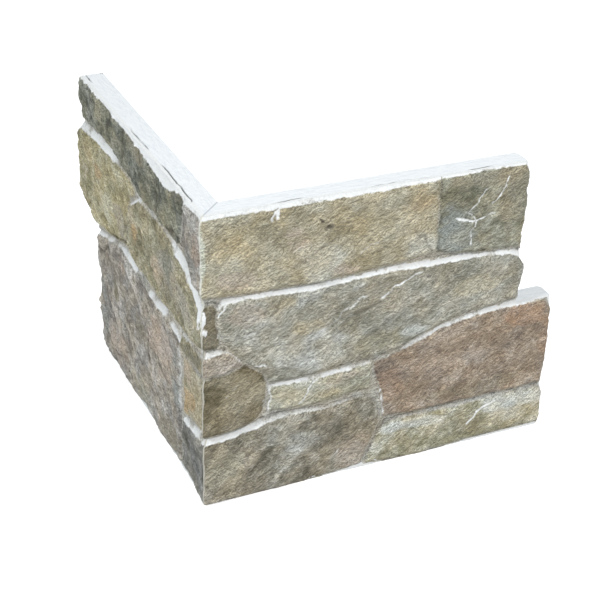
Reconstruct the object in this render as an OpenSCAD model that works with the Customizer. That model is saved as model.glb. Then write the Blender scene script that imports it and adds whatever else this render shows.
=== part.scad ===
// Outside corner piece of ledge-stone cladding, made of pale fired clay.
//
// Two panels of pressed and printed clay meet in a mitre along the upright outer arris, where a
// thin bed of adhesive holds them together. Each panel is a flat slab with rough stones standing
// proud of it, in about four courses. The free ends are stepped, one panel the opposite way to the
// other, so that the corner interlocks with the flat panels laid beside it.
//
// The origin is the foot of the inner corner, where the wall's arris stands. The front panel runs
// along +X with its back on y = 0, the return panel runs along +Y with its back on x = 0, and +Z
// points up. Each panel is drawn flat before it is placed: u runs away from the inner corner, z
// runs up, and depth is measured out from the back.

/* [Panels] */
// Height of the piece
panel_h = 150; // [120:1:200]
// Height of the step between the upper and the lower half
step_z = 75; // [65:0.5:85]
// Length of the long half of each panel, from the inner corner
long_leg = 170; // [155:1:240]
// Length of the short half of each panel, from the inner corner
short_leg = 149; // [110:1:150]
// Thickness of the slab behind the stones
slab_t = 10; // [6:0.5:16]

/* [Stones] */
// How far an average stone face stands proud of the slab
relief = 3.5; // [2.5:0.25:7]
// Width of the ledge that slopes back from the top edge of a stone
ledge_w = 2.4; // [1:0.2:4]
// Width of the slope around the other edges of a stone
edge_w = 0.7; // [0.4:0.1:1.5]
// How far the broken edges wander from their outline
edge_rough = 0.35; // [0:0.05:0.6]
// How far the broken faces rise and fall
face_rough = 0.6; // [0:0.1:1]

/* [Adhesive] */
// Thickness of the adhesive bed in the mitre
bond_t = 0.8; // [0.4:0.1:2]

/* [Hidden] */

// The stones are drawn on panels of this size, and stretched to the panels' own
drawn_h = 150;
drawn_step = 75;
drawn_long = 170;
drawn_short = 149;
// The drawn line of the arris; a stone that starts on it ends on the mitre plane at every depth
arris = -13.5;
// The arris itself, where two average stone faces would meet
arris_u = -(slab_t + relief);

// How far a stone is rooted in the slab
root = 0.5;
// Average spacing of the sections along a stone
section_pitch = 8;
// Heights of the face points on each section, as shares of the stone's height there
face_shares = [0, 0.1, 0.32, 0.55, 0.78, 0.92, 1];
// Depth that the broken edge lies below the face
edge_drop = 0.8;
// How far the middle of a stone is crowned
crown = 0.4;
// Distance along u from the mitre plane to each panel's cut face
mitre_shift = bond_t / sqrt(2);

body_white = [0.90, 0.89, 0.85];
tan_stone = [0.66, 0.60, 0.47];
ochre_stone = [0.64, 0.58, 0.42];
green_grey_stone = [0.52, 0.53, 0.45];
dark_green_stone = [0.38, 0.39, 0.34];
grey_beige_stone = [0.60, 0.58, 0.49];
pale_beige_stone = [0.68, 0.65, 0.54];
pink_stone = [0.62, 0.56, 0.49];
brown_stone = [0.46, 0.42, 0.34];
olive_stone = [0.53, 0.49, 0.36];
red_brown_stone = [0.57, 0.47, 0.39];
purple_grey_stone = [0.50, 0.46, 0.43];
slate_stone = [0.36, 0.37, 0.35];
adhesive_grey = [0.80, 0.80, 0.74];

// Each stone is its colour, how much prouder than average it stands at its near and its far end,
// and the lines of its lower and its upper edge, as [u, z] points
FRONT_UPPER_STONES = [
    [tan_stone, 0, 0,
        [[arris, 111], [0, 110.5], [17, 109.5], [40, 108.8], [60, 109.3], [75, 110.3],
            [90, 111.5], [101.5, 113]],
        [[arris, 148.5], [20, 148], [60, 148], [85, 148.3], [101.5, 149]]],
    [green_grey_stone, 0, -0.3,
        [[103.5, 112.6], [112, 111], [122, 108.8], [135, 108], [147.8, 107.5], [149.3, 131]],
        [[103.5, 149.2], [147, 149.3], [149.3, 145]]],
    [brown_stone, -0.3, -0.5,
        [[arris, 85], [-7, 85], [-5, 87]],
        [[arris, 105.5], [-8, 106], [-5, 104]]],
    [grey_beige_stone, 0.3, 0,
        [[-3.7, 99], [-1, 90], [3, 83.5], [8, 77.5], [13, 72.5], [18, 67], [22, 62.5],
            [40, 61.7], [60, 62.6], [80, 63.5], [90, 67], [100, 71], [110, 74], [120, 76.3],
            [130, 77.5], [148, 79.3], [150, 86], [151, 90]],
        [[-3.7, 104], [-2, 106.2], [12, 106.5], [25, 105.5], [40, 104.7], [60, 105.7],
            [80, 106.5], [100, 105.3], [120, 105.3], [142, 104], [148, 101], [151, 97]]]];
FRONT_LOWER_STONES = [
    [pink_stone, 0, 0.2,
        [[arris, 71.3], [-2, 71.3], [5, 73]],
        [[arris, 79.5], [-8, 81.3], [-3, 81.5], [1, 79], [5, 75]]],
    [brown_stone, 0, 0,
        [[arris, 38.5], [-2, 39.5], [9, 41.5], [14, 44.5], [18, 53]],
        [[arris, 68], [-2, 68], [6, 69.3], [9.5, 69.3], [15, 65], [18, 60]]],
    [pale_beige_stone, 0, 0,
        [[20.5, 46.5], [26, 45], [38, 43.8], [55, 44.3], [71.5, 46]],
        [[20.5, 58], [43, 58.2], [50, 57.7], [71.5, 59]]],
    [red_brown_stone, 0, 0.3,
        [[73.5, 56], [74.3, 51], [77, 42], [78.7, 33], [80, 27.6], [100, 26.9], [130, 26.7],
            [167, 27.2], [169, 40]],
        [[73.5, 59.4], [80, 60.3], [90, 63.3], [98, 66.7], [108, 70], [118, 72.3], [128, 73.5],
            [140, 74.5], [165, 74.3], [169, 69]]],
    [brown_stone, 0.2, 0,
        [[arris, 0.7], [38, 0.8], [47, 1.5], [60, 2.5], [68, 3.5], [70, 9], [73.5, 17],
            [76.3, 25]],
        [[arris, 33.5], [-3, 34], [10, 36.3], [20, 38.5], [30, 39.8], [48, 39], [60, 40.5],
            [71.8, 40.5], [74.6, 37], [76.3, 30]]],
    [green_grey_stone, 0, 0.3,
        [[70.7, 2.3], [85, 1.2], [100, 0.8], [112, 1.3], [125, 2.3], [169.3, 2.8]],
        [[70.7, 3.5], [72.2, 7], [76.4, 16], [79, 21], [82, 22.8], [90, 23.4], [105, 23.4],
            [125, 22.8], [137, 23.6], [165.5, 23.6], [169.3, 20]]]];
RETURN_UPPER_STONES = [
    [purple_grey_stone, 0, 0,
        [[arris, 112], [-4, 114.5], [3, 120], [9, 122.5], [17, 123]],
        [[arris, 148.5], [8, 148.8], [17, 146.5]]],
    [dark_green_stone, 0, -0.3,
        [[19, 123.2], [35, 124], [65, 123.5], [75, 124], [84, 127.5], [106, 129], [115, 130.6],
            [130, 130.8], [150, 129.4], [166, 128.2], [171, 144]],
        [[19, 146], [30, 144.5], [45, 144.5], [62, 147], [100, 148.6], [125, 149.2],
            [170, 149.2], [171, 148]]],
    [ochre_stone, 0, 1.7,
        [[80.5, 120.5], [89, 115], [93.5, 104], [95.5, 95], [96.5, 87.5], [104, 86.2],
            [112, 83.5], [124, 81], [138, 78.5], [146, 77.7], [155, 78.5], [165, 81.5],
            [171, 86], [173, 103], [175, 112]],
        [[80.5, 121.6], [86, 124.3], [97, 125], [106, 125.6], [115, 124.8], [146, 123.8],
            [168, 121.5], [174, 118.5], [175, 115]]],
    [olive_stone, 0.3, 0,
        [[arris, 87.5], [-5, 84], [5, 83], [45, 82.5], [80, 82.7], [91, 86.3], [94, 93]],
        [[arris, 99], [-6, 104], [0, 110.5], [10, 113.5], [19, 116.8], [25, 119.7],
            [40, 120.7], [60, 120.4], [75, 119.3], [87, 112], [91.5, 104], [94, 95]]]];
RETURN_LOWER_STONES = [
    [olive_stone, -0.2, -0.2,
        [[arris, 73], [-3, 71.3], [15.5, 70.3]],
        [[arris, 79], [-5, 78], [5, 78], [15.5, 77.5]]],
    [tan_stone, 0, 0,
        [[arris, 43], [0, 39.7], [12.5, 37.3]],
        [[arris, 69], [0, 67.4], [12.5, 66.7]]],
    [slate_stone, 0, 0,
        [[arris, 0.8], [-7, 1.5], [0, 3.5], [6, 4.8], [16.5, 5]],
        [[arris, 34.5], [-3, 32.5], [6, 31], [16.5, 30]]],
    [purple_grey_stone, 0.3, 0.2,
        [[18.5, 5.5], [32, 3], [50, 0.8], [56, 0.8], [63, 3], [70, 4.5], [78, 4], [86, 1.5],
            [95, 0.8], [140, 0.8], [149, 1.5], [151, 12]],
        [[18.5, 71.5], [27, 73.3], [38, 76], [50, 73.8], [62, 73.3], [75, 76.5], [98, 78.3],
            [108, 77.5], [120, 75.3], [130, 72.5], [140, 70.3], [149, 68], [151, 62]]]];

// The adhesive's outer edge, as [z, share of the relief that it fills], from the foot up
BOND_EDGE = [
    [0, 0.5], [3, 0.85], [30, 0.85], [36, 0.3], [42, 0.85], [66, 0.85], [71, 0.4], [76, 0.8],
    [83, 0.3], [90, 0.8], [94, 0.9], [98, 0.6], [103, 0.9], [108, 0.4], [114, 0.85],
    [145, 0.85], [150, 0.4]];

// A repeatable value from -1 to 1 that looks random
function scatter(a, b) =
    let (s = sin(a * 127.1 + b * 311.7) * 4375.85)
    2 * (s - floor(s)) - 1;

// The drawn height z on a panel of this height and step
function stretched_z(z) =
    z < drawn_step
        ? z * step_z / drawn_step
        : step_z + (z - drawn_step) * (panel_h - step_z) / (drawn_h - drawn_step);

// A line of an outline on a panel half that is stretched along u
function stretched(line, stretch) =
    [for (p = line) [p.x < 0 ? p.x * arris_u / arris : p.x * stretch, stretched_z(p.y)]];

// One stone, as a loft of upright sections along u between its lower and its upper edge. Each
// section has a root in the slab, a broken edge at the top and bottom, and a rough crowned face.
// A first section at the arris lies on the mitre plane, whatever the depth of its points.
module stone(lower, upper, proud_near, proud_far, seed, top_limit) {
    near_u = lower[0].x;
    far_u = lower[len(lower) - 1].x;
    at_arris = near_u < arris_u + 0.01;
    start_u = at_arris ? mitre_shift - slab_t + root : near_u;
    sections = 3 + ceil((far_u - near_u) / section_pitch);
    last = len(face_shares) - 1;
    corners = last + 3;

    // Sections crowd towards a free end, where the outline turns
    function share_at(i) =
        let (t = i / (sections - 1))
        at_arris ? sin(90 * t) : (1 - cos(180 * t)) / 2;
    function depth_at(t, share) =
        slab_t + relief + proud_near + (proud_far - proud_near) * t
            + crown * 16 * t * (1 - t) * share * (1 - share);
    function section(i) =
        let (
            t = share_at(i),
            mitred = i == 0 && at_arris,
            u = mitred ? near_u : start_u + (far_u - start_u) * t,
            low = lookup(u, lower) + edge_rough * scatter(i, seed),
            high = max(low + 0.5, lookup(u, upper) + edge_rough * scatter(i, seed + 40)),
            free_end = i == sections - 1 || (i == 0 && !at_arris),
            root_depth = slab_t - root,
            root_u = mitred ? mitre_shift - root_depth
                : i == 0 ? u - edge_w
                : i == sections - 1 ? u + edge_w
                : u
        )
        concat(
            [[root_u, -root_depth, max(0, low - edge_w)]],
            [
                for (k = [0:last])
                    let (
                        share = face_shares[k],
                        on_edge = free_end || k == 0 || k == last,
                        rise = face_rough * scatter(i + 60 * k, seed + 80),
                        depth = depth_at(t, share) + (on_edge ? 0.5 * rise - edge_drop : rise)
                    )
                    [mitred ? mitre_shift - depth : u, -depth, low + (high - low) * share]
            ],
            [[root_u, -root_depth, min(top_limit(root_u), high + ledge_w)]]
        );

    points = [for (i = [0:sections - 1]) each section(i)];
    sides = [
        for (i = [0:sections - 2], k = [0:corners - 1])
            let (a = i * corners + k, b = i * corners + (k + 1) % corners)
            each [[a, b, b + corners], [a, b + corners, a + corners]]];
    far_end = (sections - 1) * corners;
    ends = [
        for (k = [1:corners - 2])
            each [[0, k + 1, k], [far_end, far_end + k, far_end + k + 1]]];
    polyhedron(points, concat(sides, ends));
}

// One half of a slab, mitred at the arris end
module slab_half(leg, height) {
    linear_extrude(height)
        polygon([[mitre_shift, 0], [mitre_shift - slab_t, -slab_t], [leg, -slab_t], [leg, 0]]);
}

// The stones of one panel half, stretched to its leg
module stones(list, stretch, seed, top_limit) {
    for (i = [0:len(list) - 1]) {
        s = list[i];
        color(s[0])
            stone(stretched(s[3], stretch), stretched(s[4], stretch), s[1], s[2], seed + i, top_limit);
    }
}

// A panel in the front panel's place, from its two legs and the stones of its two halves
module panel(upper_leg, lower_leg, drawn_upper, drawn_lower, upper_stones, lower_stones) {
    color(body_white) slab_half(lower_leg, step_z);
    color(body_white) translate([0, 0, step_z]) slab_half(upper_leg, panel_h - step_z);
    stones(upper_stones, upper_leg / drawn_upper, 1, function (u) panel_h);
    stones(lower_stones, lower_leg / drawn_lower, 11, function (u) u > upper_leg ? step_z : panel_h);
}

module front_panel() {
    panel(short_leg, long_leg, drawn_short, drawn_long, FRONT_UPPER_STONES, FRONT_LOWER_STONES);
}

module return_panel() {
    mirror([1, -1, 0])
        panel(long_leg, short_leg, drawn_long, drawn_short, RETURN_UPPER_STONES, RETURN_LOWER_STONES);
}

// The adhesive bed: a thin upright plate in the mitre, with an uneven outer edge
module mitre_bond() {
    outer = [for (e = BOND_EDGE) [(slab_t + relief * e[1]) * sqrt(2), stretched_z(e[0])]];
    color(adhesive_grey)
        rotate([90, 0, 225])
            translate([0, 0, -bond_t / 2])
                linear_extrude(bond_t)
                    polygon(concat([[0, panel_h], [0, 0]], outer));
}

front_panel();
return_panel();
mitre_bond();
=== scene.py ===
"""The looks of the stone cladding corner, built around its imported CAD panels.

Each panel is drawn flat, as in the CAD: u runs away from the inner corner, z runs up, and depth is
measured out from the back. A panel's front is one height field, worked out from the outlines of
its stones. Lengths here are in millimetres, and are turned into metres when a mesh is made.
"""

import math

import bmesh
import bpy
import numpy as np
from mathutils import Matrix, Vector


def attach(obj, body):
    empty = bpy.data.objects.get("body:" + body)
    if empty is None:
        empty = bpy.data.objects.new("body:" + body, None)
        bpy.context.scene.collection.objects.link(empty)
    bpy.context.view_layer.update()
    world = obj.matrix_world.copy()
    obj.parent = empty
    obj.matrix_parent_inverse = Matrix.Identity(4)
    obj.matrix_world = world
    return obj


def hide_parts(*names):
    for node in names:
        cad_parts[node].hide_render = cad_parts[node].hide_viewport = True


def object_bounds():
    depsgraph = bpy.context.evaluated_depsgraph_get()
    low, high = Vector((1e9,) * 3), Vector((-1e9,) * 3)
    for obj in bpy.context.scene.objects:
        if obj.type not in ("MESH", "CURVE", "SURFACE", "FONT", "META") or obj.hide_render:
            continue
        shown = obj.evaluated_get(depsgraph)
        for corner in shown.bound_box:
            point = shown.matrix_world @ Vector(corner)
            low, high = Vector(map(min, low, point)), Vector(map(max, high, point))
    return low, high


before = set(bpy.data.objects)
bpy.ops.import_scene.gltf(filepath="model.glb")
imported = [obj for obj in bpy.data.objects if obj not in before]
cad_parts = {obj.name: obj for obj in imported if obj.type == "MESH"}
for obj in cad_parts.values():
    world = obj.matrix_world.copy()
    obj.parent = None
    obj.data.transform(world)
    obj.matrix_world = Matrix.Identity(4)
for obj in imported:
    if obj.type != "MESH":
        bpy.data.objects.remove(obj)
cad_low, cad_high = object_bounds()

MM = 0.001

# The panels, as in the CAD
PANEL_H = (cad_high.z - cad_low.z) / MM
STEP_Z = 75
LONG_LEG = 170
SHORT_LEG = 149
SLAB_T = 10
RELIEF = 3.5
BOND_T = 0.8
MITRE_SHIFT = BOND_T / math.sqrt(2)
ARRIS = -(SLAB_T + RELIEF)
# Stones that reach the arris are drawn past it, and the mitre cuts them
PAST_ARRIS = -18

# The height field, whose ground shows between the stones
GROUND = SLAB_T + 1.9
PITCH = 0.62
EDGE_W = 1.6
EDGE_DROP = 0.9
EDGE_ROUND = 1.8
EDGE_WOBBLE = 0.15
LEDGE_SLOPE = 0.75
# A ledge's white and shadow reach this many times its width
LEDGE_REACH = 1.3
SPLIT_FLOOR = -1.2
CREASE_DEPTH = 0.4
SMEAR_T = 0.5
BARE_FOOT_Z = 3.6
STREAK_ANGLE = math.radians(32)

# The rims of the height field, and the walls behind them
WORN_ABOVE_Z = 92
ARRIS_BLEND_U = -4
END_BLEND_W = 8
END_RAGGED = 0.5
CORNER_BLEND_U = 6
BACK_ROUND = 1.6
CRACK_W = 0.32
CRACK_BACK_W = 0.3
LIP_DEPTH = SLAB_T - 0.3
# How much of the way from the face's end to the leg's full length each ring of the wall has gone
RING_SHARES = [0.5, 0.8, 0.92, 1, 1, 1, 1, 1]
CRACK_RING = 2
BACK_RING = len(RING_SHARES) - 1

# How strongly shadow darkens the print, from 0 to 1
BELOW_SHADE = 0.29
BEHIND_SHADE = 0.32
CRACK_SHADE = 0.65
SHADE_STRENGTH = 0.9

# The bead of adhesive along the arris
BEAD_PROUD = 0.15
BEAD_SHOULDER = 0.3
BEAD_GAP = 0.02

# Colours are written as they look on a screen
BARE_CLAY = (0.94, 0.945, 0.94)
CUT_CLAY = (0.92, 0.935, 0.94)
DULL_CLAY = (0.86, 0.875, 0.88)
SCRATCHED = (0.885, 0.905, 0.92)
GROUT = (0.69, 0.675, 0.63)
ADHESIVE = (0.88, 0.88, 0.85)
DULL_ADHESIVE = (0.78, 0.78, 0.73)
JOINT_GREY = (0.76, 0.78, 0.80)
SHADOW = (0.30, 0.28, 0.24)
FLOOR_WHITE = (0.93, 0.93, 0.93)
FLOOR_DUST = (0.91, 0.91, 0.91)


def linear(colour):
    """A screen colour as the linear light that the shaders use."""
    return [c / 12.92 if c <= 0.04045 else ((c + 0.055) / 1.055) ** 2.4 for c in colour]


# Noise

LATTICE = 128


def smooth(t):
    """A soft step: 0 below 0, 1 above 1, and a smooth rise between them."""
    t = np.clip(t, 0, 1)
    return t * t * (3 - 2 * t)


def value_noise(x, y, seed):
    """Smooth noise from -1 to 1, with about one bump per unit."""
    grid = np.random.RandomState(seed).uniform(-1, 1, (LATTICE, LATTICE))
    xi = np.floor(x).astype(int)
    yi = np.floor(y).astype(int)
    sx = smooth(x - xi)
    sy = smooth(y - yi)
    x0, x1 = xi % LATTICE, (xi + 1) % LATTICE
    y0, y1 = yi % LATTICE, (yi + 1) % LATTICE
    low = grid[x0, y0] * (1 - sx) + grid[x1, y0] * sx
    high = grid[x0, y1] * (1 - sx) + grid[x1, y1] * sx
    return low * (1 - sy) + high * sy


def fractal(x, y, size, octaves, seed, rough=0.5):
    """Layered noise from about -1 to 1, whose largest bumps are this size across."""
    total = np.zeros_like(x)
    weight = 1.0
    for octave in range(octaves):
        scale = 2 ** octave / size
        total += weight * value_noise(x * scale, y * scale, seed + octave)
        weight *= rough
    return total


def turned(u, z, angle):
    """Coordinates along and across a direction."""
    along = u * math.cos(angle) + z * math.sin(angle)
    across = -u * math.sin(angle) + z * math.cos(angle)
    return along, across


def chips(u, z, size, seed):
    """Broken stone, from about 0 to 1: shallow scoops of this size with sharp ridges between."""
    x, y = u / size, z / size
    random = np.random.RandomState(seed)
    offsets = random.uniform(0.1, 0.9, (LATTICE, LATTICE, 2))
    floors = random.uniform(0, 0.5, (LATTICE, LATTICE))
    xi, yi = np.floor(x).astype(int), np.floor(y).astype(int)
    nearest = np.full_like(x, 9.0)
    for dx in (-1, 0, 1):
        for dy in (-1, 0, 1):
            cx, cy = xi + dx, yi + dy
            point = offsets[cx % LATTICE, cy % LATTICE]
            distance = (x - cx - point[..., 0]) ** 2 + (y - cy - point[..., 1]) ** 2
            nearest = np.minimum(nearest, distance + floors[cx % LATTICE, cy % LATTICE])
    return np.clip(nearest, 0, 1)


# Stones


def at(u, line):
    """The value at u of a line drawn as [u, value] points."""
    xs, ys = zip(*line)
    return np.interp(u, xs, ys)


def stone(
        colours, lower, upper, proud=(0, 0), ledge=2.4, white=1.0, patches=(), creases=(),
        rough=1.0):
    """One stone of a panel.

    colours: its pale, middle and dark print. lower, upper: the lines of its edges, as [u, z].
    proud: how much further than average its near and far ends stand out. ledge: the width of the
    ledge over its upper edge, and white: how bare of print the ledge is, from 0 to 1, or above 1
    where it is hardly mottled, each as one value or as [u, value] points. patches: (u, z, radius
    along u, radius along z, colour, strength). creases: (points, width, strength) of broken lines,
    pale ones above 0 and dark ones below, whose darkness is painted shade. rough: how deeply its
    face is split, and how flecked it is, against the others.
    """
    return {
        "colours": colours,
        "lower": lower,
        "upper": upper,
        "proud": proud,
        "ledge": ledge if isinstance(ledge, list) else [[0, ledge]],
        "white": white if isinstance(white, list) else [[0, white]],
        "patches": patches,
        "creases": creases,
        "rough": rough,
    }


TAN = [(0.755, 0.73, 0.65), (0.69, 0.665, 0.58), (0.59, 0.56, 0.465)]
GREEN_GREY = [(0.68, 0.68, 0.62), (0.57, 0.56, 0.49), (0.44, 0.44, 0.37)]
BROWN = [(0.60, 0.57, 0.49), (0.495, 0.465, 0.38), (0.37, 0.35, 0.27)]
GREY_BEIGE = [(0.73, 0.725, 0.685), (0.635, 0.625, 0.575), (0.525, 0.515, 0.455)]
PALE_BEIGE = [(0.765, 0.76, 0.71), (0.67, 0.665, 0.60), (0.57, 0.56, 0.49)]
PINK = [(0.73, 0.70, 0.66), (0.655, 0.625, 0.575), (0.56, 0.53, 0.48)]
RED_BROWN = [(0.70, 0.655, 0.60), (0.60, 0.545, 0.48), (0.50, 0.445, 0.39)]
UMBER = [(0.69, 0.67, 0.62), (0.58, 0.56, 0.50), (0.44, 0.42, 0.36)]
SAGE = [(0.82, 0.81, 0.76), (0.715, 0.70, 0.62), (0.565, 0.55, 0.45)]
MOSS = [(0.58, 0.58, 0.53), (0.45, 0.46, 0.41), (0.32, 0.33, 0.29)]
OCHRE = [(0.77, 0.75, 0.65), (0.68, 0.65, 0.53), (0.54, 0.52, 0.40)]
OLIVE = [(0.71, 0.69, 0.61), (0.61, 0.59, 0.49), (0.47, 0.45, 0.36)]
MAUVE = [(0.77, 0.75, 0.72), (0.66, 0.64, 0.60), (0.51, 0.49, 0.46)]
SLATE = [(0.62, 0.62, 0.60), (0.50, 0.50, 0.48), (0.36, 0.36, 0.34)]

BLUE_GREY = (0.57, 0.59, 0.57)
RUST = (0.66, 0.54, 0.44)
HONEY = (0.72, 0.67, 0.54)
ROSE = (0.73, 0.67, 0.61)
ORANGE = (0.70, 0.61, 0.47)
DUSK = (0.43, 0.42, 0.38)
MIST = (0.80, 0.81, 0.79)
LICHEN = (0.80, 0.81, 0.75)

FRONT_UPPER = [
    stone(
        TAN,
        [[PAST_ARRIS, 111], [0, 110.5], [17, 109.5], [40, 108.8], [60, 109.3], [75, 110.3],
         [90, 111.5], [102.2, 113]],
        [[PAST_ARRIS, 148.5], [20, 148], [60, 148], [85, 148.3], [102.2, 149]],
        ledge=6,
        patches=[(93, 141, 11, 7, ORANGE, 0.35), (32, 134, 9, 6, ROSE, 0.6),
                 (43, 120, 12, 10, MIST, 0.3), (94, 118, 9, 7, MIST, 0.35),
                 (2, 117, 10, 4, ROSE, 0.5), (5, 138, 14, 8, HONEY, 0.4),
                 (72, 134, 18, 8, HONEY, 0.3), (58, 113, 9, 4, ROSE, 0.6),
                 (-13.5, 130, 2.1, 22, LICHEN, 0.8)],
        creases=[([(21.7, 148), (20.8, 143.8)], 0.7, 1.0), ([(21.7, 148), (23.2, 143.3)], 0.7, 1.0),
                 ([(64, 119), (68, 122), (73, 125)], 0.6, 0.6),
                 ([(43.6, 140), (44.5, 139)], 0.7, -1.8), ([(46.6, 135.6), (47.6, 134.8)], 0.7, -1.8),
                 ([(31, 131), (30, 126), (31, 122)], 0.6, -0.4),
                 ([(90, 127), (97, 119), (100, 114)], 0.7, -0.5),
                 ([(50, 128), (40, 124), (30, 118)], 0.7, -0.4)]),
    stone(
        GREEN_GREY,
        [[102.6, 112.6], [112, 111], [122, 108.8], [135, 108], [147.8, 107.5], [149.3, 131]],
        [[102.6, 149.2], [147, 149.3], [149.3, 145]],
        proud=(0, -0.3), ledge=4,
        patches=[(113, 123, 12, 14, BLUE_GREY, 0.8), (142, 136, 8, 16, BROWN[0], 0.5),
                 (120, 145, 16, 4, BROWN[0], 0.5)],
        creases=[([(138, 144.5), (136, 141), (134.5, 137), (130, 133)], 0.5, 1.0),
                 ([(111, 127.5), (117, 126), (123, 125.3), (127, 126), (131, 128)], 0.55, 1.0),
                 ([(118, 130), (122, 133), (124, 137), (126.5, 140)], 0.45, 0.8),
                 ([(116, 130.5), (120, 129), (123, 125.3)], 0.5, 0.8),
                 ([(123, 125.3), (120, 121), (119.5, 117), (121, 112)], 0.55, 0.8),
                 ([(105, 129), (111, 127.5)], 0.45, 0.5)]),
    stone(
        BROWN,
        [[PAST_ARRIS, 84.7], [-6, 84.7], [-4.6, 88]],
        [[PAST_ARRIS, 106], [-7.6, 106.5], [-6.2, 104]],
        proud=(-0.3, -0.5), ledge=1.5, white=0.3,
        patches=[(-10, 95, 6, 12, PINK[1], 0.15)]),
    stone(
        GREY_BEIGE,
        [[-4.4, 99], [-3.4, 89], [0.8, 82.7], [5.8, 76.2], [11.5, 71.4], [18, 66], [20, 61], [40, 60.6],
         [60, 62.2], [80, 63.5], [90, 67], [100, 71], [110, 74], [120, 76.3], [130, 77.5],
         [148, 79.3], [150, 86], [151, 90]],
        [[-4.2, 103.5], [-2, 106.2], [12, 106.5], [25, 105.5], [40, 104.7], [60, 105.7], [80, 106.5],
         [100, 105.3], [120, 105.3], [142, 104], [148, 101], [151, 97]],
        proud=(0.3, 0), ledge=[[0, 2], [20, 2.8], [60, 2.4], [90, 4], [110, 3.6], [148, 3]],
        patches=[(125, 92, 13, 7, HONEY, 0.4), (8, 99, 9, 6, ROSE, 0.35),
                 (24, 101, 7, 4, HONEY, 0.35), (37, 87, 9, 3.5, HONEY, 0.35),
                 (41, 96, 10, 6, BLUE_GREY, 0.35), (70, 95, 22, 8, BROWN[0], 0.4),
                 (38, 73, 22, 9, MIST, 0.4), (80, 72, 20, 6, OLIVE[1], 0.45),
                 (145, 92, 5, 8, BROWN[1], 0.4), (92, 73, 9, 4, MIST, 0.6)],
        creases=[([(-4.2, 100), (-3.8, 103), (-1, 106.4), (8, 106.8)], 0.6, 0.9),
                 ([(44, 82), (52, 88), (60, 93), (68, 97)], 0.8, 0.6),
                 ([(56, 85), (66, 90), (76, 92)], 1.0, -0.4),
                 ([(95, 104), (88, 101.5), (80, 98), (75, 94.5)], 0.6, 0.9),
                 ([(68, 89), (58, 87), (48, 84), (40, 79)], 0.9, 0.5),
                 ([(12.5, 72), (16, 71.5), (20, 69)], 0.8, 0.8),
                 ([(50, 85), (42, 78), (34, 72)], 0.7, 0.5),
                 ([(6, 89), (12, 89.5)], 0.6, 0.6), ([(40, 70), (28, 66)], 0.6, 0.5),
                 ([(62, 99), (54, 94), (44, 92)], 0.7, 0.3),
                 ([(118, 99), (108, 95), (100, 89)], 0.6, 0.4),
                 ([(88, 87), (76, 81), (70, 76)], 0.7, -0.35),
                 ([(56, 82), (44, 75), (36, 73)], 0.7, -0.35),
                 ([(24, 100), (16, 94), (12, 88)], 0.7, -0.3)]),
]
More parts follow.
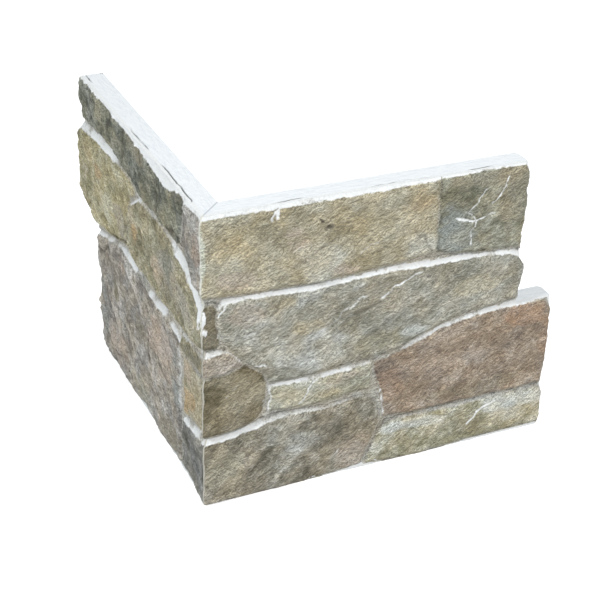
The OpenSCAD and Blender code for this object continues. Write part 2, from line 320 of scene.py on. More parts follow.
FRONT_LOWER = [
    stone(
        PINK,
        [[PAST_ARRIS, 70.8], [-2.3, 70.8], [6, 73.6]],
        [[PAST_ARRIS, 79], [-8, 80.6], [-0.5, 81], [3, 77.8], [6, 74.6]],
        proud=(0, 0.2), ledge=[[-14, 3.2], [-3, 2.4], [0, 1.2], [6, 1]], white=0.7,
        creases=[([(-1, 81), (3, 77.8), (6, 74.2)], 0.5, 0.6)]),
    stone(
        BROWN,
        [[PAST_ARRIS, 38.2], [-2, 38.8], [6, 39.9], [12, 42], [16, 46.5], [17.2, 53]],
        [[PAST_ARRIS, 69], [-2, 69.2], [5.3, 70.8], [7.4, 72.6], [11.5, 69.6], [16, 65.6], [17.6, 61.5]],
        ledge=0.8, white=0,
        patches=[(4, 60, 16, 9, TAN[1], 0.35), (2, 45, 12, 8, DUSK, 0.15)],
        creases=[([(-2, 58), (4, 63), (7, 67)], 0.5, 0.5)]),
    stone(
        PALE_BEIGE,
        [[19.8, 46.2], [26, 44.8], [38, 43.8], [55, 44.3], [71.5, 46]],
        [[19.8, 57.6], [43, 57.6], [50, 57.4], [71.5, 59]],
        ledge=[[20, 2], [50, 2.8], [71, 2.8]], white=0.85,
        patches=[(28, 52, 9, 6, SAGE[1], 0.6), (60, 55, 10, 3.5, ROSE, 0.5), (50, 48, 8, 3, HONEY, 0.4)],
        creases=[([(43, 58), (39, 53), (34, 46)], 0.5, 0.9), ([(19.8, 46.2), (19.8, 57.6)], 0.6, 0.9)]),
    stone(
        RED_BROWN,
        [[73.5, 56], [74.3, 51], [77, 42], [78.7, 33], [80, 27.6], [100, 26.9], [130, 26.7],
         [167, 27.2], [169, 40]],
        [[73.5, 59.4], [80, 60.3], [90, 63.3], [98, 66.7], [108, 70], [118, 72.3], [128, 73.5],
         [140, 74.5], [165, 74.3], [169, 69]],
        proud=(0, 0.3), ledge=[[75, 1.6], [110, 2], [150, 3], [170, 4]],
        white=[[75, 0.3], [100, 0.8], [125, 1], [152, 1], [162, 0.4]],
        patches=[(155, 69, 15, 7, RUST, 0.6), (168, 52, 5, 16, RUST, 0.4),
                 (100, 55, 18, 9, ROSE, 0.3), (82, 48, 9, 10, RUST, 0.3),
                 (120, 58, 16, 8, ROSE, 0.3), (130, 33, 22, 5, BROWN[1], 0.4)],
        creases=[([(73.5, 58), (74.3, 51), (76, 45)], 0.6, 0.35),
                 ([(76, 45), (77.4, 40), (79.2, 29)], 0.7, 0.9)]),
    stone(
        UMBER,
        [[PAST_ARRIS, 0.7], [38, 0.8], [47, 1.5], [60, 2.5], [68, 3.5], [70, 9], [73.5, 17], [76.3, 25]],
        [[PAST_ARRIS, 33.5], [-3, 34], [10, 36.3], [20, 38.5], [30, 39.8], [48, 39], [60, 40.5],
         [71.8, 40.5], [74.6, 37], [76.3, 30]],
        proud=(0.2, 0), rough=1.25,
        ledge=[[-14, 3.2], [20, 3.4], [40, 2.6], [50, 1.6], [68, 1.4], [72, 0.8]],
        white=[[-14, 1], [12, 0.95], [30, 0.65], [60, 0.5], [72, 0.3]],
        patches=[(-4, 20, 10, 16, TAN[1], 0.5), (66, 12, 10, 10, ROSE, 0.45),
                 (30, 29, 16, 8, MIST, 0.35), (28, 14, 9, 8, MIST, 0.25),
                 (50, 26, 12, 8, DUSK, 0.4), (14, 8, 14, 6, DUSK, 0.3)],
        creases=[([(24, 9), (27, 12)], 0.9, 0.6), ([(52, 9), (56, 15)], 0.6, 0.7)]),
    stone(
        SAGE,
        [[70.7, 2.3], [85, 1.2], [100, 0.8], [112, 1.3], [125, 2.3], [169.3, 2.8]],
        [[70.7, 3.5], [72.2, 7], [76.4, 16], [79, 21], [82, 22.8], [90, 23.4], [105, 23.4],
         [125, 22.8], [137, 23.6], [165.5, 23.6], [169.3, 20]],
        proud=(0, 0.3), ledge=1.8, white=[[70, 0], [84, 0.1], [90, 0.45], [170, 0.45]],
        patches=[(95, 20, 22, 3, MIST, 0.7), (148, 20, 20, 4, MIST, 0.7), (120, 5, 30, 4, OCHRE[2], 0.6),
                 (128, 10, 10, 6, OLIVE[2], 0.5), (150, 10, 14, 5, HONEY, 0.4)],
        creases=[([(142, 22), (136, 20), (132, 17.5), (127, 11.5)], 0.7, 0.95)]),
]
RETURN_UPPER = [
    stone(
        MAUVE,
        [[PAST_ARRIS, 112], [-4, 114.5], [3, 120], [9, 122.5], [16, 123]],
        [[PAST_ARRIS, 148.5], [4, 148.8], [8.5, 147.5]],
        ledge=7, rough=1.5,
        patches=[(0, 138, 12, 8, SLATE[0], 0.5), (2, 125, 16, 10, SLATE[1], 0.4),
                 (-8, 132, 5, 9, RUST, 0.3)]),
    stone(
        MOSS,
        [[16.2, 123.2], [35, 124], [65, 123.5], [75, 124], [84, 127.5], [106, 129], [115, 130.6],
         [130, 130.8], [150, 129.4], [166, 128.2], [171, 144]],
        [[8.8, 147.5], [13, 149], [20, 148.6], [27, 145.2], [36, 144.3], [47, 145], [58, 147.6],
         [100, 148.8], [125, 149.3], [170, 149.3], [171, 148]],
        proud=(0, -0.3), rough=1.5, white=1.6,
        ledge=[[8, 3], [20, 4], [30, 14], [45, 14], [62, 8], [90, 5], [170, 3]],
        patches=[(28, 136, 12, 9, OLIVE[1], 0.5), (58, 130, 14, 7, OLIVE[1], 0.4),
                 (126, 139, 14, 9, OLIVE[1], 0.45), (75, 145, 14, 4, BROWN[0], 0.5),
                 (15, 144, 8, 5, DUSK, 0.5)],
        creases=[([(34, 123), (26, 127), (16, 129)], 1.3, -1),
                 ([(96, 146), (93, 138), (95, 131)], 0.9, -0.7),
                 ([(48, 142), (44, 134), (46, 127)], 1.0, -0.8),
                 ([(70, 147), (67, 138), (72, 128)], 0.9, -0.6),
                 ([(118, 146), (121, 138)], 0.8, -0.6),
                 ([(150, 146), (148, 137), (152, 131)], 0.8, -0.6)]),
    stone(
        OCHRE,
        [[80.5, 120.5], [89, 115], [93.5, 104], [95.5, 95], [96.5, 86], [104, 84.4], [112, 81.8],
         [124, 79.5], [138, 77.7], [146, 77.4], [155, 78.5], [165, 81.5], [171, 86], [173, 103],
         [175, 112]],
        [[80.5, 121.6], [86, 124.3], [97, 125], [106, 125.6], [115, 124.8], [146, 123.8],
         [168, 121.5], [174, 118.5], [175, 115]],
        proud=(0, 1.7), rough=1.3, ledge=[[80, 2], [106, 3.2], [118, 6], [150, 6], [170, 5]],
        white=[[80, 0.2], [104, 0.4], [112, 0.9], [165, 0.85]],
        patches=[(138, 109, 6, 4, ORANGE, 0.7), (160, 114, 14, 4, ORANGE, 0.3),
                 (103, 97, 9, 10, MAUVE[1], 0.6), (163, 92, 8, 10, MAUVE[0], 0.4)],
        creases=[([(119, 81), (112, 82.7), (104, 85.3), (97, 87)], 0.7, -1.2),
                 ([(98, 103), (96, 97), (99, 92)], 0.6, -0.6)]),
    stone(
        OLIVE,
        [[PAST_ARRIS, 87.5], [-5, 84], [5, 83], [45, 82.5], [80, 82.7], [91, 86.3], [94, 93]],
        [[PAST_ARRIS, 99], [-6, 104], [0, 110.5], [10, 113.5], [19, 116.8], [25, 119.7],
         [40, 120.7], [60, 120.4], [75, 119.3], [87, 112], [91.5, 104], [94, 95]],
        proud=(0.3, 0), rough=1.3, ledge=[[-14, 4], [0, 5], [20, 4.5], [30, 2.2], [80, 2], [94, 1.6]],
        white=[[-14, 0.8], [0, 1], [20, 1], [28, 0.5], [62, 0.45], [75, 0.8], [94, 0.8]],
        patches=[(80, 99, 6, 4.5, ORANGE, 0.8), (60, 112, 12, 6, OCHRE[0], 0.5),
                 (48, 96, 9, 8, ROSE, 0.5), (22, 98, 22, 16, MAUVE[1], 0.55),
                 (32, 92, 10, 8, DUSK, 0.3), (32, 109, 5, 9, MOSS[1], 0.5)]),
]
RETURN_LOWER = [
    stone(
        OLIVE,
        [[PAST_ARRIS, 73], [-3, 71.3], [15.5, 70.3]],
        [[PAST_ARRIS, 79], [-5, 78], [5, 78], [15.5, 77.5]],
        proud=(-0.2, -0.2), ledge=2.2, white=0.5,
        patches=[(5, 74, 14, 5, DUSK, 0.5)]),
    stone(
        TAN,
        [[PAST_ARRIS, 43], [0, 39.7], [12.5, 37.3]],
        [[PAST_ARRIS, 69], [0, 67.4], [12.5, 66.7]],
        ledge=1.6, white=0.15,
        patches=[(6, 48, 9, 9, ORANGE, 0.7), (8, 62, 6, 6, ROSE, 0.6)]),
    stone(
        SLATE,
        [[PAST_ARRIS, 0.8], [-7, 1.5], [0, 3.5], [6, 4.8], [16.5, 5]],
        [[PAST_ARRIS, 34.5], [-3, 32.5], [6, 31], [16.5, 30]],
        ledge=[[-14, 4], [17, 5]], white=0.85, rough=1.2),
    stone(
        MAUVE,
        [[18.5, 5.5], [32, 3], [50, 0.8], [56, 0.8], [63, 3], [70, 4.5], [78, 4], [86, 1.5],
         [95, 0.8], [140, 0.8], [149, 1.5], [151, 12]],
        [[18.5, 71.5], [27, 73.3], [38, 76], [50, 73.8], [62, 73.3], [75, 76.5], [98, 78.3],
         [108, 77.5], [120, 75.3], [130, 72.5], [140, 70.3], [149, 68], [151, 62]],
        proud=(0.3, 0.2), rough=1.4,
        ledge=[[18, 3], [55, 4], [75, 3], [90, 3.6], [105, 2.4], [118, 3.4], [150, 2]],
        white=[[18, 0.8], [31, 0.8], [35, 0.2], [40, 1], [62, 1], [68, 0.1], [80, 0.1], [84, 1],
               [114, 0.9], [119, 0.2], [122, 0.8], [146, 0.8]],
        patches=[(46, 54, 22, 15, ROSE, 0.6), (119, 19, 17, 14, ROSE, 0.5),
                 (110, 69, 12, 6, ROSE, 0.5), (119, 53, 6, 8, OLIVE[2], 0.7),
                 (76, 49, 9, 9, BROWN[1], 0.5), (141, 19, 7, 11, BLUE_GREY, 0.6),
                 (84, 12, 16, 8, OLIVE[0], 0.4), (30, 13, 18, 7, BROWN[1], 0.5),
                 (24, 45, 4, 18, BLUE_GREY, 0.6), (143, 38, 6, 8, BLUE_GREY, 0.5),
                 (96, 52, 10, 8, DUSK, 0.35)],
        creases=[([(148, 60), (138, 63), (128, 70)], 1.1, -0.9),
                 ([(64, 52), (66, 42), (60, 33)], 1.2, -0.8),
                 ([(104, 66), (92, 62), (84, 66)], 0.8, -0.6),
                 ([(40, 70), (28, 64), (22, 60)], 0.8, -0.6),
                 ([(118, 40), (104, 44), (92, 40)], 0.9, -0.5),
                 ([(86, 24), (76, 30), (64, 27)], 0.8, -0.5),
                 ([(18.7, 68), (18.9, 50), (18.7, 30)], 1.6, 0.55),
                 ([(122, 38), (108, 33)], 0.8, 0.4),
                 ([(46, 44), (38, 40), (30, 42)], 0.9, -0.6),
                 ([(136, 14), (120, 9), (110, 12)], 0.9, -0.6)]),
]
FRONT_STONES = FRONT_UPPER + FRONT_LOWER
RETURN_STONES = RETURN_UPPER + RETURN_LOWER

# The free ends of the halves, as [z, u] lines
FRONT_ENDS = {
    "upper": [[75, 149], [79, 149.2], [86, 150], [90, 151], [97, 151], [101, 148.3], [107, 148],
              [131, 149.3], [145, 149.3], [150, 147.5]],
    "lower": [[0, 169], [20, 169.3], [24, 167.5], [27, 167.5], [40, 169], [69, 169], [75, 166]],
}
RETURN_ENDS = {
    "upper": [[75, 165], [78.5, 166], [82, 168.5], [86, 171], [103, 173], [113, 175], [119, 174],
              [122, 171], [128, 168], [144, 171], [150, 170]],
    "lower": [[0, 149], [12, 151], [30, 149], [47, 147], [52, 152], [62, 151], [68, 149], [75, 149]],
}


# The height field


def outline_distance(u, z, s):
    """Distance to a stone's outline, less than 0 inside it, and what the nearest edge is.

    The second result is true where the upper edge is nearest, and the third is how far an edge
    of the stone faces down there, from 0 for an upright edge to 1 for a level one.
    """
    lower = s["lower"]
    upper = s["upper"][::-1]
    corners = lower + upper
    best = np.full(u.shape, 1e9)
    on_upper = np.zeros(u.shape, bool)
    faces_down = np.zeros(u.shape)
    inside = np.zeros(u.shape, bool)
    for i, a in enumerate(corners):
        b = corners[(i + 1) % len(corners)]
        du, dz = b[0] - a[0], b[1] - a[1]
        length = math.hypot(du, dz) + 1e-9
        t = np.clip(((u - a[0]) * du + (z - a[1]) * dz) / length ** 2, 0, 1)
        gap = np.hypot(u - a[0] - t * du, z - a[1] - t * dz)
        closer = gap < best
        best = np.where(closer, gap, best)
        on_upper = np.where(closer, len(lower) <= i < len(corners) - 1, on_upper)
        faces_down = np.where(closer, max(0, du) / length if i < len(lower) - 1 else 0, faces_down)
        inside ^= ((a[1] > z) != (b[1] > z)) & (u < du * (z - a[1]) / (dz if dz else 1e-9) + a[0])
    return np.where(inside, -best, best), on_upper, faces_down


def line_distance(u, z, points):
    """Distance to an open line of points."""
    best = np.full(u.shape, 1e9)
    for a, b in zip(points, points[1:]):
        du, dz = b[0] - a[0], b[1] - a[1]
        t = np.clip(((u - a[0]) * du + (z - a[1]) * dz) / (du * du + dz * dz), 0, 1)
        best = np.minimum(best, np.hypot(u - a[0] - t * du, z - a[1] - t * dz))
    return best


def split_face(u, z, seed):
    """The broken face of a stone, in mm above and below its plane."""
    along, across = turned(u, z, STREAK_ANGLE)
    warp = fractal(u, z, 9, 2, seed + 500)
    scoops = chips(along * 0.38 + warp * 1.5, across + warp * 1.5, 6, seed + 600)
    nicks = chips(along * 0.45 + warp, across + warp, 2.6, seed + 650)
    streaks = fractal(along * 0.35, across, 2.2, 3, seed + 700, rough=0.7)
    swell = fractal(u, z, 22, 3, seed + 800)
    planes = chips(along * 0.45 + warp * 2, across + warp * 2, 14, seed + 550)
    average = 0.45
    return (
        1.1 * (planes - average) + 0.9 * (scoops - average) + 0.55 * (nicks - average)
        + 0.22 * streaks + 0.3 * swell)


def in_patch(u, z, patch, ragged):
    """How much of a patch (u, z, radius along u, radius along z) lies at each point, from 0 to 1."""
    pu, pz, ru, rz = patch
    reach = ((u - pu) / ru) ** 2 + ((z - pz) / rz) ** 2
    return smooth(1.3 - reach + ragged)


def stone_relief(u, z, s, gap, on_upper, seed):
    """A stone's height over its face and the slopes around it, and how split it is."""
    near, far = s["lower"][0][0], s["lower"][-1][0]
    near_proud, far_proud = s["proud"]
    along = np.clip((u - near) / (far - near), 0, 1)
    face = SLAB_T + RELIEF + near_proud + (far_proud - near_proud) * along
    broken = split_face(u, z, seed) * s["rough"]
    edge = face - EDGE_DROP + 0.4 * broken
    rounding = EDGE_DROP * (1 - smooth(-gap / EDGE_ROUND)) ** 1.5
    # Beyond its outline a stone falls away as a ledge at its upper edge, and steeply elsewhere
    ledge_w = at(u, s["ledge"])
    drop = np.clip(gap / np.where(on_upper, ledge_w, EDGE_W), 0, 3)
    ledge_foot = np.maximum(SLAB_T, edge - LEDGE_SLOPE * ledge_w)
    side_foot = np.minimum(GROUND, edge - 0.4)
    foot = np.where(on_upper, ledge_foot, side_foot)
    outer = edge - drop * (edge - foot)
    height = np.where(gap < 0, np.maximum(broken, SPLIT_FLOOR) + face - rounding, outer)
    return height, broken


def creased(height, s, on_face, warped, patchy):
    """A stone's height with its creases cut in, how pale they are, and how much painted shade darkens
    them.
    """
    pale = np.zeros_like(height)
    dark = np.zeros_like(height)
    for points, width, strength in s["creases"]:
        crease = strength * np.exp(-(line_distance(*warped, points) / width) ** 2)
        height = height - on_face * CREASE_DEPTH * np.abs(crease)
        pale = np.maximum(pale, crease * patchy)
        dark = np.maximum(dark, -crease)
    return height, pale, dark


def shaded_print(u, z, s, blots, broken, seed):
    """The colour of a stone's face: its print, with painted light on its high parts and painted shade in
    its hollows.
    """
    pale, middle, dark = [np.array(linear(c)) for c in s["colours"]]
    flecks = fractal(u, z, 2.8, 2, seed + 3, rough=0.7)
    level = 0.5 + 0.22 * blots + 0.15 * value_noise(u / 15, z / 10, seed)
    # Painted light and shade: the print is lighter where the split face stands out and darker in its
    # hollows
    level += 0.3 * broken + 0.25 * s["rough"] * flecks
    level = np.clip(level, 0, 1)[..., None]
    shown = np.where(
        level > 0.5,
        middle + (pale - middle) * (2 * level - 1),
        dark + (middle - dark) * (2 * level))
    for *patch, tint, strength in s["patches"]:
        amount = strength * in_patch(u, z, patch, 0.9 * blots)[..., None]
        shown = shown + (np.array(linear(tint)) - shown) * amount
    return shown


def surface(u, z, stones, smears, seed):
    """The height field over a grid: its depth and looks at each point.

    The looks are the printed colour, how bare of print the clay is and how dark the shadow on it
    is, both from 0 to 1.
    """
    depth = GROUND + 0.3 * fractal(u, z, 5, 3, seed)
    colour = np.empty(u.shape + (3,))
    colour[:] = linear(GROUT)
    bare_foot = smooth((BARE_FOOT_Z - z) / 1.2)
    ground_bare = np.maximum(0.22 + 0.2 * fractal(u, z, 6, 3, seed + 20), bare_foot)
    bare = ground_bare
    shade = np.zeros_like(u)
    wobble = fractal(u, z, 1.9, 3, seed + 40)
    mottled = np.clip(0.95 + 0.5 * fractal(u, z, 7, 3, seed + 53), 0.55, 1)
    fade_wobble = 0.28 * fractal(u, z, 1.8, 2, seed + 50, rough=0.7)
    blots = fractal(*turned(u * 0.5, z, STREAK_ANGLE), 9, 4, seed + 60, rough=0.6)
    # Creases wander about their drawn lines
    warped = (u + 0.9 * fractal(u, z, 4, 3, seed + 44), z + 0.9 * fractal(u, z, 4, 3, seed + 47))
    patchy = np.clip(0.9 + 0.45 * fractal(u, z, 5, 2, seed + 56), 0.5, 1)
    unclaimed = np.ones(u.shape, bool)
    for k, s in enumerate(stones):
        gap, on_upper, faces_down = outline_distance(u, z, s)
        gap = gap + EDGE_WOBBLE * wobble
        on_face = gap < 0
        ledge_w = at(u, s["ledge"])
        over_ledge = on_upper & (gap < ledge_w * LEDGE_REACH)
        height, broken = stone_relief(u, z, s, gap, on_upper, seed + 31 * k)
        height, pale, dark = creased(height, s, on_face, warped, patchy)
        # A stone wins where it stands out furthest, and its ledge wins where no stone is yet
        wins = (height > depth) | (unclaimed & over_ledge & ~on_face)
        unclaimed &= ~wins
        depth = np.where(wins, height, depth)

        # The print fades out just past the outline, and ledges and pale creases are bare clay
        shown = shaded_print(u, z, s, blots, broken, seed + 7 * k)
        shown = shown + (np.array(linear(GROUT)) - shown) * smooth(gap / 0.6)[..., None]
        white = np.where(over_ledge, at(u, s["white"]), 0)
        # Painted shade: a ledge's bare clay fades to half towards its back, under the stone above, so
        # the ground colour shows there
        ledge_shade_fade = 1 - 0.5 * smooth((gap - 0.8) / ledge_w)
        faded = white * mottled * ledge_shade_fade * smooth((gap + fade_wobble + 0.5) / 1.0)
        own_bare = np.maximum(faded, np.where(gap < 0.9, pale, ground_bare))
        colour = np.where(wins[..., None], shown, colour)
        bare = np.where(wins, own_bare, bare)

        # Shadow lies below edges that face down, at the back of ledges and in dark creases
        level_edge = smooth((faces_down - 0.6) / 0.35)
        below = BELOW_SHADE * level_edge * smooth(1 - (gap - 0.2) / 1.1) * smooth((gap + 0.8) / 0.8)
        behind = np.where(over_ledge & wins, BEHIND_SHADE * np.clip(gap / ledge_w, 0, 1), 0)
        own_shade = np.maximum(behind, np.where(on_face, dark, 0))
        shade = np.maximum(np.where(wins, own_shade, shade), below)
    for *patch, strength in smears:
        amount = strength * in_patch(u, z, patch, 0.8 * wobble)
        depth = depth + SMEAR_T * amount
        bare = np.maximum(bare, amount)
    return depth, colour, np.clip(bare, 0, 1), np.clip(shade, 0, 1)


# Panel meshes


def spaced(low, high, pitch):
    """Even steps from low to high, none of them longer than pitch."""
    return np.linspace(low, high, 1 + math.ceil((high - low) / pitch))


def arris_line(z, stones, smears, seed):
    """The u at which a panel's surface meets the mitre plane, at each height z."""
    mitre_u = np.full(z.shape, float(ARRIS))
    for _ in range(4):
        mitre_u = MITRE_SHIFT - surface(mitre_u, z, stones, smears, seed)[0]
    return mitre_u


def near_arris(u, z, stones, smears, seed):
    """Moves the columns beside the arris so that the first one lies on the mitre plane."""
    mitre_u = arris_line(z[:, 0], stones, smears, seed)[:, None]
    share = np.clip((ARRIS_BLEND_U - u) / (ARRIS_BLEND_U - ARRIS), 0, 1)
    moved = ARRIS_BLEND_U + share * (mitre_u - ARRIS_BLEND_U)
    return np.where(u < ARRIS_BLEND_U, moved, u)


def near_end(u, z, leg, line, seed):
    """Moves the columns beside a free end to the end's own ragged line."""
    off_step = np.abs(z - STEP_Z) > 0.1
    end_u = at(z, line) + END_RAGGED * fractal(z, np.zeros_like(z), 4, 3, seed + 95) * off_step
    share = np.clip((u - (leg - END_BLEND_W)) / END_BLEND_W, 0, 1)
    return u + (end_u - leg) * share


def crack_depth(u, cracks, seed):
    """How deep the cracks between slab and lip run down from the top, along u."""
    ragged = 0.85 + 0.5 * fractal(u, np.zeros_like(u), 4, 3, seed + 97)
    deepest = np.zeros_like(u)
    for start, stop, deep in cracks:
        taper = smooth((u - start) / 7) * smooth((stop - u) / 7)
        deepest = np.maximum(deepest, deep * taper * ragged)
    return deepest


def ring_depths(face_depth, crack):
    """The depth of each ring of a wall: past the crack behind the lip, and on to the back."""
    return [
        (face_depth + crack + CRACK_W) / 2,
        crack + CRACK_W,
        crack,
        crack - CRACK_W,
        crack - CRACK_W - CRACK_BACK_W,
        SLAB_T / 2,
        BACK_ROUND,
        0,
    ]


def ring_u(step, ring_depth, face_u, mitre_u, at_end, leg):
    """How far along its leg a ring of a wall lies, next to the point face_u of the face's edge.

    At a free end the rings run out to the leg's full length, and near the arris they follow the
    mitre plane, which the face's edge meets at mitre_u.
    """
    if face_u < CORNER_BLEND_U:
        share = (CORNER_BLEND_U - face_u) / (CORNER_BLEND_U - mitre_u)
        return face_u + share * (MITRE_SHIFT - ring_depth - mitre_u)
    if not at_end:
        return face_u
    end_u = face_u + (leg - face_u) * RING_SHARES[step]
    return end_u - BACK_ROUND if step == BACK_RING else end_u


def panel_mesh(name, place, upper_leg, lower_leg, stones, ends, smears, cracks, seed):
    """A panel's closed mesh, with its colours as attributes.

    place turns (u, depth, z) into the room's axes.
    """
    low_rows = spaced(0, STEP_Z, PITCH)
    rows = np.concatenate([low_rows, spaced(STEP_Z, PANEL_H, PITCH)[1:]])
    short_columns = spaced(ARRIS, SHORT_LEG, PITCH)
    columns = np.concatenate([short_columns, spaced(SHORT_LEG, LONG_LEG, PITCH)[1:]])
    step_row = len(low_rows) - 1
    step_column = len(short_columns) - 1
    upper_is_short = upper_leg < lower_leg

    z, u = np.meshgrid(rows, columns, indexing="ij")
    row_numbers = np.arange(len(rows))
    is_upper = row_numbers > step_row if upper_is_short else row_numbers >= step_row
    u = near_arris(u, z, stones, smears, seed)
    upper_u = near_end(u, z, upper_leg, ends["upper"], seed)
    lower_u = near_end(u, z, lower_leg, ends["lower"], seed)
    u = np.where(is_upper[:, None], upper_u, lower_u)
    depth, colour, bare, shade = surface(u, z, stones, smears, seed)
    depth[:, 0] = MITRE_SHIFT - u[:, 0]
    arris_gap = u - u[:, :1]
    rubbed = 0.75 + 0.5 * fractal(z, u, 5, 3, seed + 98)
    worn = np.where(z > WORN_ABOVE_Z, 0.55, 0.3) * smooth(1.2 - arris_gap / 0.6) * rubbed
    bare = np.clip(np.maximum(bare, worn), 0, 1)

    # The cells beyond the short half are the notch
    above = row_numbers[:-1, None] >= step_row
    beyond = np.arange(len(columns) - 1)[None, :] >= step_column
    solid = ~(beyond & above) if upper_is_short else ~(beyond & ~above)
    used = np.zeros(u.shape, bool)
    for corner in (used[:-1, :-1], used[1:, :-1], used[:-1, 1:], used[1:, 1:]):
        corner |= solid
    index = np.full(u.shape, -1)
    index[used] = np.arange(used.sum())

    flat = [tuple(p) for p in np.stack([u[used], depth[used], z[used]], 1)]
    tints = [tuple(c) for c in colour[used]]
    masks = list(zip(bare[used], shade[used]))
    grid_of = list(zip(*np.nonzero(used)))

    faces = [
        (index[i, j], index[i, j + 1], index[i + 1, j + 1], index[i + 1, j])
        for i, j in zip(*np.nonzero(solid))]
    loop = boundary_loop(faces, index[0, 0])

    # The walls run back from the edge of the height field in rings
    top_u = u[-1]
    top_row = len(rows) - 1
    deepest = crack_depth(top_u, cracks, seed)
    lip = LIP_DEPTH + 0.7 * fractal(top_u, np.zeros_like(top_u), 12, 4, seed + 99)
    rings = [loop]
    for step in range(len(RING_SHARES)):
        ring = []
        for vertex in loop:
            i, j = grid_of[vertex]
            face_u, face_depth, face_z = flat[vertex]
            crack = min(lip[j], face_depth - 2 * CRACK_W)
            ring_depth = ring_depths(face_depth, crack)[step]
            leg = upper_leg if is_upper[i] else lower_leg
            at_end = columns[j] >= leg - 0.01
            wall_u = ring_u(step, ring_depth, face_u, u[i, 0], at_end, leg)
            wall_z = face_z
            wall_bare = 1.0 if step else max(0.8, masks[vertex][0])
            wall_shade = 0.0
            if i == top_row and step == CRACK_RING:
                wall_z = face_z - deepest[j]
            if i == top_row and step in (CRACK_RING, CRACK_RING + 1):
                wall_shade = min(CRACK_SHADE, 0.6 * deepest[j])
            ring.append(len(flat))
            flat.append((wall_u, ring_depth, wall_z))
            tints.append(tints[vertex])
            masks.append((wall_bare, wall_shade))
        rings.append(ring)
    for outer, inner in zip(rings, rings[1:]):
        for n in range(len(outer)):
            m = (n + 1) % len(outer)
            faces.append((outer[m], outer[n], inner[n], inner[m]))
    faces.append(tuple(rings[-1]))

    mesh = bpy.data.meshes.new(name)
    mesh.from_pydata([Vector(place(*p)) * MM for p in flat], [], faces)
    add_attribute(mesh, "flat", "FLOAT_VECTOR", "vector", flat)
    add_attribute(mesh, "tint", "FLOAT_COLOR", "color", [(*t, 1) for t in tints])
    add_attribute(mesh, "bare", "FLOAT", "value", [m[0] for m in masks])
    add_attribute(mesh, "shade", "FLOAT", "value", [m[1] for m in masks])
    close_mesh(mesh)
    mesh.shade_smooth()
    mesh.set_sharp_from_angle(angle=math.radians(50))
    return shown_object(name, mesh)


def boundary_loop(faces, start):
    """The open edge of a sheet of faces, as vertices in order from start."""
    following = {}
    for face in faces:
        for a, b in zip(face, face[1:] + face[:1]):
            following.setdefault(a, set()).add(b)
    open_edges = {}
    for a, ends in following.items():
        for b in ends:
            if a not in following.get(b, ()):
                open_edges[a] = b
    loop = [start]
    while open_edges[loop[-1]] != start:
        loop.append(open_edges[loop[-1]])
    return loop


def close_mesh(mesh):
    """Turns every face outwards, and cuts the faces with many corners into triangles."""
    bm = bmesh.new()
    bm.from_mesh(mesh)
    bmesh.ops.recalc_face_normals(bm, faces=bm.faces)
    bmesh.ops.triangulate(bm, faces=[f for f in bm.faces if len(f.verts) > 4])
    bm.to_mesh(mesh)
    bm.free()


def shown_object(name, mesh):
    """An object in the scene that shows this mesh."""
    made = bpy.data.objects.new(name, mesh)
    bpy.context.scene.collection.objects.link(made)
    return made


def add_attribute(mesh, name, kind, field, values):
    """Stores one value for each vertex, for the shaders to read."""
    attribute = mesh.attributes.new(name, kind, "POINT")
    attribute.data.foreach_set(field, np.array(values, float).ravel())


# Materials


class Shader:
    """A node material that is written as nested calls."""

    def __init__(self, name):
        self.material = bpy.data.materials.new(name)
        self.material.use_nodes = True
        self.tree = self.material.node_tree
        self.surface = self.tree.nodes["Principled BSDF"]

    def node(self, kind, inputs=(), output=0, **settings):
        made = self.tree.nodes.new("ShaderNode" + kind)
        for key, value in settings.items():
            setattr(made, key, value)
        for socket, value in dict(inputs).items():
            self.feed(made.inputs[socket], value)
        return made.outputs[output]

    def feed(self, socket, value):
        if isinstance(value, bpy.types.NodeSocket):
            self.tree.links.new(value, socket)
        else:
            socket.default_value = value

    def value(self, name, output="Fac"):
        """One of the mesh's own attributes."""
        return self.node("Attribute", attribute_name=name, output=output)

    def maths(self, operation, a, b=0.0):
        return self.node("Math", {0: a, 1: b}, operation=operation)

    def spread(self, value, low, high, to_low, to_high):
        """A value's soft rise from low to high, turned into one from to_low to to_high."""
        inputs = {
            "Value": value, "From Min": low, "From Max": high, "To Min": to_low, "To Max": to_high}
        return self.node("MapRange", inputs, interpolation_type="SMOOTHSTEP")

    def mixed(self, factor, a, b, blend="MIX"):
        return self.node("Mix", {0: factor, 6: a, 7: b}, output=2, data_type="RGBA", blend_type=blend)

    def noise(self, where, scale, detail=4, rough=0.6, offset=0):
        if offset:
            where = self.node("Mapping", {"Vector": where, "Location": (offset, offset, offset)})
        inputs = {"Vector": where, "Scale": scale, "Detail": detail, "Roughness": rough}
        return self.node("TexNoise", inputs)

    def shifted(self, where, scale, reach):
        """Coordinates that wander by up to about half of reach."""
        wander = self.node("TexNoise", {"Vector": where, "Scale": scale, "Detail": 3}, output="Color")
        wander = self.node("VectorMath", {0: wander, 1: (0.5, 0.5, 0.5)}, operation="SUBTRACT")
        wander = self.node("VectorMath", {0: wander, "Scale": reach}, operation="SCALE")
        return self.node("VectorMath", {0: where, 1: wander}, operation="ADD")


def grey(level):
    return (level, level, level, 1)


def opaque(colour):
    """A screen colour as a shader's colour input."""
    return (*linear(colour), 1)


